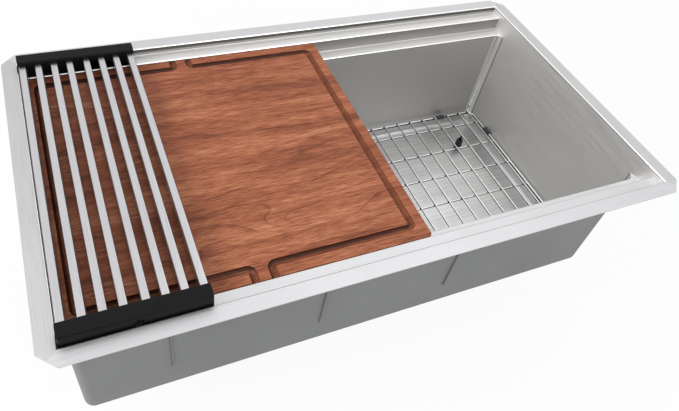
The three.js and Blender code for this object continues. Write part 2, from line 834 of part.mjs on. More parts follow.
const grid = new THREE.Group();
add(grid, 'bottom_grid', bottomGrid(), polishedSteel);
footPlaces().forEach(([x, y], i) => {
  add(grid, `grid_leg_${i + 1}`, gridLeg(), polishedSteel, [x, y, 0]);
  add(grid, `grid_foot_${i + 1}`, gridFoot(), greyRubber, [x, y, floor + gap]);
});
const bumperX = (lastBarWire - bumperWireFromEnd) * barWirePitch;
const bumperY = 2 * crossWirePitch;
const sleeves = [
  ['front_left', -bumperX, -gridHalfDepth, false],
  ['front_right', bumperX, -gridHalfDepth, false],
  ['rear_left', -bumperX, gridHalfDepth, false],
  ['rear_right', bumperX, gridHalfDepth, false],
  ['left_front', -gridHalfLength, -bumperY, true],
  ['left_rear', -gridHalfLength, bumperY, true],
  ['right_front', gridHalfLength, -bumperY, true],
  ['right_rear', gridHalfLength, bumperY, true],
];
for (const [place, x, y, liesAlongY] of sleeves) {
  const rotation = liesAlongY ? [Math.PI / 2, 0, 0] : [0, Math.PI / 2, 0];
  add(grid, `grid_bumper_${place}`, gridBumper(), greyRubber, [x, y, frameLevel], rotation);
}

const workstation = new THREE.Group();
workstation.add(basin, drain, strainer, board, rack, grid);

export default workstation;
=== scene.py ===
import bmesh
import bpy
import math
from mathutils import Matrix, Vector


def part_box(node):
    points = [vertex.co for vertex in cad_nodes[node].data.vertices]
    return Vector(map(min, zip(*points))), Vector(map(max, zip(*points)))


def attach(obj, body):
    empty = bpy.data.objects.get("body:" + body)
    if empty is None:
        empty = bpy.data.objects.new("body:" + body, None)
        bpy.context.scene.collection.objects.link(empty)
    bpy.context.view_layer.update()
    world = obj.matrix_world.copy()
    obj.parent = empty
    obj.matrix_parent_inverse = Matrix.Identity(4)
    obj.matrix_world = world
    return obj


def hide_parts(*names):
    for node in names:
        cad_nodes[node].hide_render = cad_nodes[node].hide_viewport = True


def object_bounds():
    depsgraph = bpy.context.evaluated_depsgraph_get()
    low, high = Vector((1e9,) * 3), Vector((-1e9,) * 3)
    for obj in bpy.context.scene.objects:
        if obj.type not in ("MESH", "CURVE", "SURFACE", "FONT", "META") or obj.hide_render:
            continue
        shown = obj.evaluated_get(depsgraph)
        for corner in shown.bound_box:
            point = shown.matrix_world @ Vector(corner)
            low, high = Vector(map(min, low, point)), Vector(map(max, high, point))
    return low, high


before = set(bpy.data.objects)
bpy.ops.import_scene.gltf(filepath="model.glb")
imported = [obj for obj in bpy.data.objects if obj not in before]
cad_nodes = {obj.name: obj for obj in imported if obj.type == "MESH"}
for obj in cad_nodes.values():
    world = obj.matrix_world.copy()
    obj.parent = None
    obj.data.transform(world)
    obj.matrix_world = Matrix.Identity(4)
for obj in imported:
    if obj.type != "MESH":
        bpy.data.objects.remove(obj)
cad_box = [list(corner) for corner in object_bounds()]

# ---------- View ----------
# The camera stands in front of the sink's left half and looks down at it, turned to the right. Its place and
# lens were solved from the straight edges of the flange and the bowl.
camera_lens = bpy.data.cameras.new("view")
camera_lens.sensor_width = 36
camera_lens.lens = 32.594
camera_lens.shift_x = 0.020659
camera_lens.shift_y = -0.039082
camera = bpy.data.objects.new("view", camera_lens)
camera.location = (-0.340256, -0.541355, 0.566077)
camera.rotation_euler = (0.74050683, -0.13887472, -0.39251305)
bpy.context.scene.collection.objects.link(camera)
bpy.context.scene.camera = camera
bpy.context.scene.view_settings.view_transform = "Standard"


# ---------- Studio: floor, daylight and three soft boxes ----------
# A pale floor that the drain's pipe stands on, under an even white sky. The sky and the floor are plain white
# to the eye and in the steel, and a little shadow stays on the floor.
mm = 0.001


def linear(text):
    """An sRGB hex colour as a linear RGBA tuple."""
    parts = [int(text[i:i + 2], 16) / 255 for i in (1, 3, 5)]
    return tuple(p / 12.92 if p <= 0.04045 else ((p + 0.055) / 1.055) ** 2.4 for p in parts) + (1,)


def add_node(tree, kind, inputs=None, stops=None, **settings):
    """A node with its settings. An input is a value, or the socket that is linked to it."""
    made = tree.nodes.new(kind)
    for name, value in settings.items():
        setattr(made, name, value)
    for name, value in (inputs or {}).items():
        if isinstance(value, bpy.types.NodeSocket):
            tree.links.new(value, made.inputs[name])
        else:
            made.inputs[name].default_value = value
    for i, (place, colour) in enumerate(stops or ()):
        elements = made.color_ramp.elements
        stop = elements[i] if i < len(elements) else elements.new(place)
        stop.position = place
        stop.color = linear(colour)
    return made


def bare_material(name):
    """A new material and its empty tree."""
    material = bpy.data.materials.new(name)
    material.use_nodes = True
    material.node_tree.nodes.clear()
    return material, material.node_tree


def seen_white(tree):
    """1 on camera, glossy and transmission rays, else 0."""
    path = add_node(tree, "ShaderNodeLightPath")
    either = add_node(tree, "ShaderNodeMath", {
        0: path.outputs["Is Camera Ray"], 1: path.outputs["Is Glossy Ray"]}, operation="MAXIMUM")
    any_of = add_node(tree, "ShaderNodeMath", {
        0: either.outputs[0], 1: path.outputs["Is Transmission Ray"]}, operation="MAXIMUM")
    return any_of.outputs[0]


sky = bpy.data.worlds.new("white_sky")
bpy.context.scene.world = sky
sky.use_nodes = True
sky.node_tree.nodes.clear()
sky_light = add_node(sky.node_tree, "ShaderNodeBackground", {"Color": (1, 1, 1, 1), "Strength": 0.56})
sky_seen = add_node(sky.node_tree, "ShaderNodeBackground", {"Color": (1, 1, 1, 1), "Strength": 1})
sky_mix = add_node(sky.node_tree, "ShaderNodeMixShader", {
    0: seen_white(sky.node_tree), 1: sky_light.outputs[0], 2: sky_seen.outputs[0]})
add_node(sky.node_tree, "ShaderNodeOutputWorld", {"Surface": sky_mix.outputs[0]})


def select_only(*pieces):
    """Leaves edit mode and selects these pieces and nothing else, the last one active."""
    if bpy.context.mode != "OBJECT":
        bpy.ops.object.mode_set(mode="OBJECT")
    bpy.ops.object.select_all(action="DESELECT")
    for piece in pieces:
        piece.select_set(True)
        bpy.context.view_layer.objects.active = piece


select_only()
floor_gap = 0.2 * mm
bpy.ops.mesh.primitive_plane_add(size=8, location=(0, 0, cad_box[0][2] - floor_gap))
studio_floor = bpy.context.object
studio_floor.name = "studio_floor"
white_floor, tree = bare_material("white_studio_floor")
paper = add_node(tree, "ShaderNodeBsdfDiffuse", {"Color": linear("#f6f6f6")})
glow = add_node(tree, "ShaderNodeEmission", {"Color": (1, 1, 1, 1), "Strength": 1})
share = add_node(tree, "ShaderNodeMath", {0: seen_white(tree), 1: 0.93}, operation="MULTIPLY")
floor_mix = add_node(tree, "ShaderNodeMixShader", {0: share.outputs[0], 1: paper.outputs[0], 2: glow.outputs[0]})
add_node(tree, "ShaderNodeOutputMaterial", {"Surface": floor_mix.outputs[0]})
studio_floor.data.materials.append(white_floor)

for lamp_name, place, size, power in (
    ("key_soft_box", (-2.2, 0.2, 1.3), 1.4, 42),
    ("rear_soft_box", (0.9, 0.6, 2.1), 1.5, 6),
    ("front_soft_box", (0.6, -1.7, 1.4), 1, 10),
):
    lamp = bpy.data.lights.new(lamp_name, "AREA")
    lamp.size = size
    lamp.energy = power
    soft_box = bpy.data.objects.new(lamp_name, lamp)
    soft_box.location = place
    soft_box.rotation_euler = (-Vector(place)).to_track_quat("-Z", "Y").to_euler()
    bpy.context.scene.collection.objects.link(soft_box)


# ---------- Basin ----------
# One bowl of 16 gauge stainless steel, folded and welded: a flange, two ledges along the front and the rear,
# flat end walls and a floor with a recess for the drain. Brushed inside, sprayed with a grey coat outside.
tolerance = 0.02 * mm


def near(a, b):
    """True where two places agree but for rounding."""
    return abs(a - b) < tolerance


def begin(name):
    """Takes the primitive just added, with its place in its mesh, and opens it for editing."""
    piece = bpy.context.object
    piece.name = name
    piece.data.name = name
    bpy.ops.object.transform_apply(location=True, rotation=True, scale=True)
    bpy.ops.object.mode_set(mode="EDIT")
    bpy.ops.mesh.select_mode(type="VERT")
    bpy.ops.mesh.select_all(action="SELECT")
    return piece


def pick(kind, wanted):
    """Selects only the vertices, edges or faces that pass a test of their place."""
    bpy.ops.mesh.select_mode(type=kind)
    bpy.ops.mesh.select_all(action="DESELECT")
    mesh = bpy.context.edit_object.data
    shape = bmesh.from_edit_mesh(mesh)
    for part in {"VERT": shape.verts, "EDGE": shape.edges, "FACE": shape.faces}[kind]:
        if kind == "VERT":
            part.select = wanted(part.co)
        elif kind == "EDGE":
            part.select = wanted(part.verts[0].co, part.verts[1].co)
        else:
            part.select = wanted(part.calc_center_median(), part.normal)
    shape.select_flush_mode()
    bmesh.update_edit_mesh(mesh)


def pick_rim():
    """Selects the open edges of a sheet."""
    bpy.ops.mesh.select_mode(type="EDGE")
    bpy.ops.mesh.select_all(action="DESELECT")
    bpy.ops.mesh.select_non_manifold(extend=False, use_wire=False, use_boundary=True, use_multi_face=False,
                                     use_non_contiguous=False, use_verts=False)


def draw_out(move=(0, 0, 0), size=(1, 1, 1), centre=(0, 0, 0)):
    """Extrudes what is selected, moves it and then scales it about a centre."""
    bpy.ops.mesh.extrude_region_move(TRANSFORM_OT_translate={"value": move})
    if size != (1, 1, 1):
        bpy.ops.transform.resize(value=size, center_override=centre)


def finish_with(piece, kind, **settings):
    """Puts a modifier with its settings on the piece and applies it."""
    select_only(piece)
    modifier = piece.modifiers.new(kind.lower(), kind)
    for name, value in settings.items():
        setattr(modifier, name, value)
    bpy.ops.object.modifier_apply(modifier=modifier.name)


def smooth(piece, degrees=30):
    """Shades the piece smooth up to an angle, its flats kept flat."""
    select_only(piece)
    bpy.ops.object.shade_smooth_by_angle(angle=math.radians(degrees))
    finish_with(piece, "WEIGHTED_NORMAL", keep_sharp=True)


def merge_doubles():
    """Selects everything and merges the points that lie on each other."""
    bpy.ops.mesh.select_all(action="SELECT")
    bpy.ops.mesh.remove_doubles(threshold=0.005 * mm)


def turn_faces_out():
    """Merges doubles and turns all faces one way, which is outwards on a closed shape."""
    merge_doubles()
    bpy.ops.mesh.normals_make_consistent(inside=False)


# Distances from the sink's middle and levels below the flange's top, then the radii and the folds.
end_wall, upper_wall, lower_wall, bowl_wall = 398.6 * mm, 220.8 * mm, 201 * mm, 181.3 * mm
upper_ledge, lower_ledge, floor_level = -11.5 * mm, -33.5 * mm, -241.5 * mm
half_length, half_depth = 419.1 * mm, 241.3 * mm
corner_radius, floor_radius, chamfer = 12 * mm, 10 * mm, 19 * mm
recess_radius, recess_foot, recess_floor, hole_radius = 60.5 * mm, 58 * mm, -244.5 * mm, 44.5 * mm
sheet, wide_fold, tight_fold, recess_fold = 1.5 * mm, 2.3 * mm, 0.9 * mm, 1.2 * mm
arc_start = bowl_wall - corner_radius

select_only()
bpy.ops.mesh.primitive_plane_add(size=1, location=(0, 0, lower_ledge))
basin = begin("basin_shell")
bpy.ops.transform.resize(value=(2 * end_wall, 2 * bowl_wall, 1), center_override=(0, 0, lower_ledge))
bpy.ops.mesh.bevel(offset=corner_radius, segments=8, affect="VERTICES")
bpy.ops.mesh.select_all(action="SELECT")
draw_out(move=(0, 0, floor_level - lower_ledge))
pick("FACE", lambda c, n: near(c.z, lower_ledge))
bpy.ops.mesh.delete(type="ONLY_FACE")
for side in (-1, 1):
    pick("EDGE", lambda a, b: near(a.z, lower_ledge) and near(b.z, lower_ledge)
         and min(side * a.y, side * b.y) > arc_start - tolerance)
    draw_out(size=(1, 0, 1), centre=(0, side * lower_wall, lower_ledge))
pick_rim()
draw_out(move=(0, 0, upper_ledge - lower_ledge))
for side in (-1, 1):
    pick("EDGE", lambda a, b: near(a.z, upper_ledge) and near(b.z, upper_ledge)
         and near(a.y, side * lower_wall) and near(b.y, side * lower_wall))
    draw_out(size=(1, 0, 1), centre=(0, side * upper_wall, upper_ledge))
pick_rim()
draw_out(move=(0, 0, -upper_ledge))
bpy.ops.mesh.select_all(action="SELECT")
bpy.ops.mesh.dissolve_limited(angle_limit=math.radians(1))
pick_rim()
draw_out(size=(half_length / end_wall, half_depth / upper_wall, 1))
for across, along in ((-1, -1), (-1, 1), (1, -1), (1, 1)):
    bpy.ops.mesh.select_mode(type="VERT")
    bpy.ops.mesh.select_all(action="SELECT")
    bpy.ops.mesh.bisect(plane_co=(across * (half_length - chamfer), along * half_depth, 0),
                        plane_no=(across, along, 0), clear_outer=True)
merge_doubles()

# The folds: wide over the lips and under the walls, tight in the corners of the ledges.
pick("EDGE", lambda a, b: near(a.z, floor_level) and near(b.z, floor_level))
bpy.ops.mesh.bevel(offset=floor_radius, segments=6)
pick("EDGE", lambda a, b: near(a.z, b.z) and (
    (near(a.z, lower_ledge) and max(abs(a.y), abs(b.y)) < bowl_wall + tolerance
     and min(abs(a.y), abs(b.y)) > arc_start and max(abs(a.x), abs(b.x)) < end_wall - 3 * mm)
    or (near(a.z, upper_ledge) and near(abs(a.y), lower_wall) and near(abs(b.y), lower_wall))
    or (near(a.z, 0) and ((near(abs(a.y), upper_wall) and near(a.y, b.y))
                          or (near(abs(a.x), end_wall) and near(a.x, b.x))))))
bpy.ops.mesh.bevel(offset=wide_fold, segments=4)
pick("EDGE", lambda a, b: near(a.z, b.z) and near(a.y, b.y) and (
    (near(a.z, upper_ledge) and near(abs(a.y), upper_wall))
    or (near(a.z, lower_ledge) and near(abs(a.y), lower_wall))))
bpy.ops.mesh.bevel(offset=tight_fold, segments=2)

# The upper walls are parted along their length, so that their top can take a painted dark reflection.
shade_line = -6.5 * mm
pick("FACE", lambda c, n: near(abs(c.y), upper_wall) and abs(n.y) > 0.99)
bpy.ops.mesh.bisect(plane_co=(0, 0, shade_line), plane_no=(0, 0, 1))

# The floor is opened for the recess and the drain's hole.
pick("FACE", lambda c, n: near(c.z, floor_level) and abs(n.z) > 0.99)
bpy.ops.mesh.delete(type="ONLY_FACE")
bpy.ops.mesh.primitive_circle_add(vertices=72, radius=recess_radius, location=(0, 0, floor_level))
pick("EDGE", lambda a, b: near(a.z, floor_level) and near(b.z, floor_level))
bpy.ops.mesh.fill(use_beauty=True)
pick("EDGE", lambda a, b: near(a.z, floor_level) and near(b.z, floor_level)
     and near(a.xy.length, recess_radius) and near(b.xy.length, recess_radius))
narrowed = recess_foot / recess_radius
draw_out(move=(0, 0, recess_floor - floor_level), size=(narrowed, narrowed, 1), centre=(0, 0, recess_floor))
narrowed = hole_radius / recess_foot
draw_out(size=(narrowed, narrowed, 1), centre=(0, 0, recess_floor))
pick("EDGE", lambda a, b: near(a.xy.length, b.xy.length) and near(a.z, b.z)
     and (near(a.xy.length, recess_radius) or near(a.xy.length, recess_foot)))
bpy.ops.mesh.bevel(offset=recess_fold, segments=3)
turn_faces_out()
bpy.ops.object.mode_set(mode="OBJECT")
floor_faces = [f for f in basin.data.polygons if near(f.center.z, floor_level) and f.area > 10 * mm ** 2]
if floor_faces[0].normal.z < 0:
    basin.data.flip_normals()


def brushed_steel(name, along, light, dark, rough_low, rough_high, depth):
    """304 stainless sheet, belt-brushed along one axis: fine parallel scratches, satin gloss."""
    material, tree = bare_material(name)
    place = add_node(tree, "ShaderNodeTexCoord").outputs["Object"]
    # Real scratches are 0.1 to 0.3 mm apart, too fine for the picture: drawn about 1 mm apart, 60 mm long.
    fine, long = 900, 14
    scale = (long, fine, fine) if along == "X" else (fine, long, fine)
    lengthways = add_node(tree, "ShaderNodeMapping", {"Vector": place, "Scale": scale})
    scratch = add_node(tree, "ShaderNodeTexNoise", {
        "Vector": lengthways.outputs[0], "Scale": 1, "Detail": 3, "Roughness": 0.6})
    cloud = add_node(tree, "ShaderNodeTexNoise", {"Vector": place, "Scale": 9, "Detail": 2})
    both = add_node(tree, "ShaderNodeMath", {
        0: cloud.outputs["Fac"], 1: 0.35, 2: scratch.outputs["Fac"]}, operation="MULTIPLY_ADD")
    tone = add_node(tree, "ShaderNodeValToRGB", {"Fac": both.outputs[0]}, stops=((0.4, dark), (0.95, light)))
    gloss = add_node(tree, "ShaderNodeMapRange", {
        "Value": scratch.outputs["Fac"], "From Min": 0.3, "From Max": 0.7, "To Min": rough_low,
        "To Max": rough_high})
    grooves = add_node(tree, "ShaderNodeBump", {"Height": scratch.outputs["Fac"], "Strength": 1, "Distance": depth})
    steel = add_node(tree, "ShaderNodeBsdfPrincipled", {
        "Base Color": tone.outputs["Color"], "Metallic": 1, "Roughness": gloss.outputs[0],
        "Normal": grooves.outputs[0]})
    add_node(tree, "ShaderNodeOutputMaterial", {"Surface": steel.outputs[0]})
    return material


def sprayed_coat(name, colour, deep):
    """Grey sound-deadening paint, sprayed on thick: matt, with a fine orange-peel grain."""
    material, tree = bare_material(name)
    place = add_node(tree, "ShaderNodeTexCoord").outputs["Object"]
    # Droplets of about 1.2 mm, and a slow change of tone over a hand's width.
    drops = add_node(tree, "ShaderNodeTexNoise", {"Vector": place, "Scale": 800, "Detail": 2})
    drift = add_node(tree, "ShaderNodeTexNoise", {"Vector": place, "Scale": 7, "Detail": 3})
    both = add_node(tree, "ShaderNodeMath", {
        0: drops.outputs["Fac"], 1: 0.4, 2: drift.outputs["Fac"]}, operation="MULTIPLY_ADD")
    tone = add_node(tree, "ShaderNodeValToRGB", {"Fac": both.outputs[0]}, stops=((0.45, deep), (0.95, colour)))
    peel = add_node(tree, "ShaderNodeBump", {
        "Height": drops.outputs["Fac"], "Strength": 0.35, "Distance": 0.3 * mm})
    paint = add_node(tree, "ShaderNodeBsdfPrincipled", {
        "Base Color": tone.outputs["Color"], "Roughness": 0.72, "Normal": peel.outputs[0]})
    add_node(tree, "ShaderNodeOutputMaterial", {"Surface": paint.outputs[0]})
    return material


grey_coat = sprayed_coat("sprayed_grey_undercoat", "#8b8c8c", "#808181")
steel_lengthways = brushed_steel("brushed_flange_lengthways", "X", "#d3d3d5", "#c6c6c8", 0.4, 0.52, 0.2 * mm)
steel_crossways = brushed_steel("brushed_flange_crossways", "Y", "#c9c9c9", "#bdbdbd", 0.4, 0.52, 0.2 * mm)
finishes = (
    steel_lengthways, steel_crossways,
    # The floor is written paler than the walls, with broad cloudy blotches: a painted reflection.
    brushed_steel("brushed_bowl_floor", "X", "#f4f4f5", "#bfbfc0", 0.36, 0.5, 0.1 * mm),
    # The end walls are written paler than the long walls: painted light.
    brushed_steel("brushed_bowl_lengthways", "X", "#cfcecc", "#c6c5c3", 0.48, 0.6, 0.1 * mm),
    brushed_steel("brushed_bowl_crossways", "Y", "#e9e8e6", "#dfdedc", 0.52, 0.64, 0.1 * mm),
    # The top of the upper wall and the strips under the lips mirror a darker room than this studio, so they are
    # written darker: a painted dark reflection.
    brushed_steel("dark_reflection_step_steel", "X", "#6a6966", "#5b5a58", 0.45, 0.6, 0.1 * mm),
    # The step walls and the outer strips of the bent corners are written a little darker: a painted dark reflection.
    brushed_steel("dim_reflection_step_steel", "X", "#a6a5a3", "#9b9a98", 0.48, 0.6, 0.1 * mm),
    # The lips of the folds show as thin bright lines, a painted highlight, so they are written paler and glossier.
    brushed_steel("highlight_lip_steel", "X", "#f8f7f6", "#f0efed", 0.16, 0.26, 0.02 * mm),
    # The rear ledges are written paler than the front ones: painted light.
    brushed_steel("pale_ledge_steel", "X", "#ecebea", "#e1e0df", 0.46, 0.58, 0.05 * mm),
    # The bent corners of the bowl are written paler than its walls: a painted highlight.
    brushed_steel("corner_highlight_steel", "X", "#fcfbfa", "#f0efee", 0.5, 0.6, 0.05 * mm),
)
# The outside of each finish: the flange is bare below too, and the rest wears the coat.
for finish in (*finishes, steel_lengthways, steel_crossways, *[grey_coat] * (len(finishes) - 2)):
    basin.data.materials.append(finish)
lengthways, crossways, bowl_floor, bowl_lengthways, bowl_crossways, dark_reflection, step, lip, ledge, corner = range(10)
fold_reach = 2.4 * mm
# Each face takes its finish from where it lies and how it is tilted. Several are painted light: highlights on the
# lips and the bent corners, dark reflections on the top of the upper wall, under the lips and on the step walls,
# and paler rear ledges, end walls and floor.
for face in basin.data.polygons:
    c, n = face.center, face.normal
    across, along, tilt = abs(c.x), abs(c.y), abs(n.z)
    at_root = abs(c.z - lower_ledge) < 1 * mm and abs(along - lower_wall) < 1 * mm
    if c.z > -0.1 * mm:
        face.material_index = crossways if across - end_wall > along - upper_wall else lengthways
    elif c.z > -fold_reach and abs(n.x) > 0.1:
        face.material_index = lip if tilt > 0.35 else dark_reflection
    elif abs(n.x) > 0.98:
        face.material_index = bowl_crossways
    elif c.z > lower_ledge - fold_reach:
        if tilt < 0.3 and c.z > upper_ledge:
            face.material_index = dark_reflection if c.z > shade_line else step
        elif at_root or (0.3 < tilt < 0.97 and (c.z < -fold_reach or c.y > 0)):
            face.material_index = lip
        elif 0.02 < tilt < 0.3:
            face.material_index = dark_reflection
        else:
            face.material_index = (ledge if c.y > 0 else lengthways) if tilt > 0.9 else step
    elif tilt < 0.1 and abs(n.x) > 0.08:
        face.material_index = lip if 0.25 < abs(n.x) < 0.5 else step if abs(n.x) > 0.9 else corner
    else:
        face.material_index = bowl_floor if tilt > 0.6 else bowl_crossways if abs(n.x) > 0.5 else bowl_lengthways
finish_with(basin, "SOLIDIFY", thickness=sheet, offset=-1, use_even_offset=True, use_quality_normals=True,
            material_offset=len(finishes))
# The flange's cut edge, all round, has its burrs taken off.
bpy.ops.object.mode_set(mode="EDIT")
pick("EDGE", lambda a, b: near(a.z, b.z) and a.z > -sheet - 0.1 * mm
     and all(near(abs(v.x), half_length) or near(abs(v.y), half_depth)
             or near(abs(v.x) + abs(v.y), half_length + half_depth - chamfer) for v in (a, b)))
bpy.ops.mesh.bevel(offset=0.3 * mm, segments=2)
smooth(basin, 25)
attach(basin, "sink")
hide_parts("front_ledge_rail", "rear_ledge_rail", "left_end_wall", "right_end_wall",
            "front_bowl_wall", "rear_bowl_wall", "bowl_bottom")

# ---------- Stiffening fins ----------
# Thin steel strips welded upright to the front and the rear of the bowl, under the ledges, and sprayed with the
# same grey coat. Three show on the front wall, and the rear wall, which is out of view, is given the same three.
def copied(piece, name, place):
    """A copy of the piece with a mesh of its own, which a matrix puts in its place."""
    twin = piece.copy()
    twin.data = piece.data.copy()
    twin.data.transform(place)
    twin.name = name
    bpy.context.scene.collection.objects.link(twin)
    return twin


fin_low, fin_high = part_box("front_fin_1")
fin_proud, fin_sunk = 3 * mm, 0.4 * mm
fin_face = fin_high.y - fin_proud
select_only()
bpy.ops.mesh.primitive_cube_add(
    size=1, location=((fin_low.x + fin_high.x) / 2, fin_high.y + (fin_sunk - fin_proud) / 2,
                      (fin_low.z + fin_high.z) / 2),
    scale=(fin_high.x - fin_low.x, fin_proud + fin_sunk, fin_high.z - fin_low.z))
first_fin = begin("fin_strip")
pick("EDGE", lambda a, b: near(a.x, b.x) and near(a.y, fin_face) and near(b.y, fin_face))
bpy.ops.mesh.bevel(offset=0.6 * mm, segments=3)
pick("EDGE", lambda a, b: near(a.z, fin_low.z) and near(b.z, fin_low.z) and near(a.y, b.y)
     and a.y < fin_high.y - fin_proud / 2)
bpy.ops.mesh.bevel(offset=1.6 * mm, segments=3)
smooth(first_fin)
first_fin.data.materials.append(grey_coat)
for side, facing in (("front", 1), ("rear", -1)):
    for i in (1, 2, 3):
        low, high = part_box(f"{side}_fin_{i}")
        shift = facing * (low.x + high.x) / 2 - (fin_low.x + fin_high.x) / 2
        half_turn = Matrix.Rotation(0 if facing > 0 else math.pi, 4, "Z")
        fin = copied(first_fin, f"{side}_fin_strip_{i}", half_turn @ Matrix.Translation((shift, 0, 0)))
        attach(fin, "sink")
        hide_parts(f"{side}_fin_{i}")
bpy.data.objects.remove(first_fin)
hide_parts("front_fin_4", "rear_fin_4")

# ---------- Sound pads ----------
# Two heavy rubber mats stuck under the floor, left and right of the drain. Moulded with a fine diamond grip
# that catches a little light.
pad_rubber, tree = bare_material("moulded_pad_rubber")
place = add_node(tree, "ShaderNodeTexCoord").outputs["Object"]
turned_grid = add_node(tree, "ShaderNodeMapping", {"Vector": place, "Rotation": (0, 0, math.radians(45))})
# Diamonds 6 mm across.
diamonds = add_node(tree, "ShaderNodeTexChecker", {
    "Vector": turned_grid.outputs[0], "Scale": 1000 / 6, "Color1": (1, 1, 1, 1), "Color2": (0, 0, 0, 1)})
dust = add_node(tree, "ShaderNodeTexNoise", {"Vector": place, "Scale": 60, "Detail": 4})
tone = add_node(tree, "ShaderNodeValToRGB", {
    "Fac": dust.outputs["Fac"]}, stops=((0.3, "#3c3d3f"), (0.75, "#515254")))
grip = add_node(tree, "ShaderNodeBump", {"Height": diamonds.outputs["Fac"], "Strength": 0.5, "Distance": 0.4 * mm})
rubber = add_node(tree, "ShaderNodeBsdfPrincipled", {
    "Base Color": tone.outputs["Color"], "Roughness": 0.85, "Normal": grip.outputs[0]})
add_node(tree, "ShaderNodeOutputMaterial", {"Surface": rubber.outputs[0]})
for side in ("left", "right"):
    cad_nodes["sound_pad_" + side].material_slots[0].material = pad_rubber


# ---------- Drain ----------
# A cup of polished stainless steel with a rolled flange in the floor's recess, a cross in its neck and a pipe
# below. A rubber gasket, a fibre ring and a nut with six lugs clamp it from under the floor.
def turned(name, profile, facets=72):
    """A shape turned about the z axis from [radius, z] points in millimetres, each ring drawn from the last."""
    radius, level = profile[0]
    select_only()
    bpy.ops.mesh.primitive_circle_add(vertices=facets, radius=radius * mm, location=(0, 0, level * mm))
    piece = begin(name)
    for next_radius, next_level in profile[1:]:
        ratio = next_radius / radius
        draw_out(move=(0, 0, (next_level - level) * mm), size=(ratio, ratio, 1), centre=(0, 0, next_level * mm))
        radius, level = next_radius, next_level
    turn_faces_out()
    if profile[0] != profile[-1]:
        pick_rim()
        bpy.ops.mesh.edge_face_add()
        turn_faces_out()
    return piece


def soften(piece, width, segments=2):
    """Rounds the piece's sharp edges and shades it."""
    finish_with(piece, "BEVEL", width=width, segments=segments, limit_method="ANGLE", angle_limit=math.radians(35))
    smooth(piece)


def polished_steel(name, colour, rough, under="#e2e2e2"):
    """Stainless steel, electropolished or buffed: bright, with a faint haze. Except on top it mirrors the darker
    sides of a room, so it can be written darker there."""
    material, tree = bare_material(name)
    place = add_node(tree, "ShaderNodeTexCoord").outputs["Object"]
    haze = add_node(tree, "ShaderNodeTexNoise", {"Vector": place, "Scale": 120, "Detail": 3})
    gloss = add_node(tree, "ShaderNodeMapRange", {
        "Value": haze.outputs["Fac"], "To Min": rough * 0.7, "To Max": rough * 1.4})
    tone = add_node(tree, "ShaderNodeValToRGB", {
        "Fac": haze.outputs["Fac"]}, stops=((0.2, colour), (0.8, "#e2e2e2")))
    surface = add_node(tree, "ShaderNodeNewGeometry")
    facing = add_node(tree, "ShaderNodeSeparateXYZ", {"Vector": surface.outputs["Normal"]})
    upward = add_node(tree, "ShaderNodeMapRange", {"Value": facing.outputs["Z"], "From Min": 0.5, "From Max": 0.8})
    # A Mix node holds its two colours in sockets 6 and 7.
    colours = add_node(tree, "ShaderNodeMix", {
        0: upward.outputs[0], 6: linear(under), 7: tone.outputs["Color"]}, data_type="RGBA")
    steel = add_node(tree, "ShaderNodeBsdfPrincipled", {
        "Base Color": colours.outputs[2], "Metallic": 1, "Roughness": gloss.outputs[0]})
    add_node(tree, "ShaderNodeOutputMaterial", {"Surface": steel.outputs[0]})
    return material


def plain_rubber(name, colour, pale, grain):
    """Moulded rubber: matt, with a fine bloom on its skin."""
    material, tree = bare_material(name)
    place = add_node(tree, "ShaderNodeTexCoord").outputs["Object"]
    bloom = add_node(tree, "ShaderNodeTexNoise", {"Vector": place, "Scale": grain, "Detail": 3})
    tone = add_node(tree, "ShaderNodeValToRGB", {"Fac": bloom.outputs["Fac"]}, stops=((0.3, colour), (0.8, pale)))
    skin = add_node(tree, "ShaderNodeBump", {"Height": bloom.outputs["Fac"], "Strength": 0.2, "Distance": 0.1 * mm})
    rubber = add_node(tree, "ShaderNodeBsdfPrincipled", {
        "Base Color": tone.outputs["Color"], "Roughness": 0.6, "Normal": skin.outputs[0]})
    add_node(tree, "ShaderNodeOutputMaterial", {"Surface": rubber.outputs[0]})
    return material


drain_steel = polished_steel("polished_drain_steel", "#cfd0d1", 0.16)
cup = turned("drain_cup", [
    (43.5, -244.2), (56.3, -244.2), (56.5, -243.6), (56.2, -242.9), (55, -242.5), (53, -242.4), (45.5, -242.4),
    (43.4, -242.9), (42.3, -244), (42, -245.6), (42, -279), (41.2, -282.6), (38.6, -285.2), (35, -286.2),
    (20.6, -286.2), (19.4, -286.7), (19, -287.6), (19, -295.2), (21.2, -295.2), (21.2, -290.4), (23.2, -288),
    (36, -287.7), (40, -286.8), (42.7, -283.4), (43.5, -279.4), (43.5, -244.2)])
smooth(cup)
# The cross in the neck is two bars, 3 mm wide and 4 mm high.
crosses = []
for size in ((39.5, 3, 4), (3, 39.5, 4)):
    select_only()
    bpy.ops.mesh.primitive_cube_add(size=1, location=(0, 0, -290.2 * mm), scale=[s * mm for s in size])
    arm = begin("drain_cross")
    bpy.ops.mesh.bevel(offset=0.6 * mm, segments=2)
    smooth(arm)
    crosses.append(arm)
select_only(*crosses, cup)
bpy.ops.object.join()
cup.data.materials.append(drain_steel)
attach(cup, "sink")
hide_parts("drain_body")

pipe = turned("drain_pipe", [
    (19, -295.5), (21.2, -295.5), (21.2, -299), (20.9, -299.4), (20.9, -327.4), (20.4, -328.2), (19.4, -328.2),
    (19, -327.6), (19, -295.5)])
soften(pipe, 0.2 * mm)
pipe.data.materials.append(drain_steel)
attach(pipe, "sink")
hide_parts("drain_tail")

gasket = turned("drain_gasket_ring", [(43.8, -246.3), (56.5, -246.3), (56.5, -249.3), (43.8, -249.3),
                                      (43.8, -246.3)])
soften(gasket, 0.5 * mm, 3)
gasket.data.materials.append(plain_rubber("black_seal_rubber", "#1b1b1c", "#2b2b2c", 500))
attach(gasket, "sink")
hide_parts("drain_gasket")

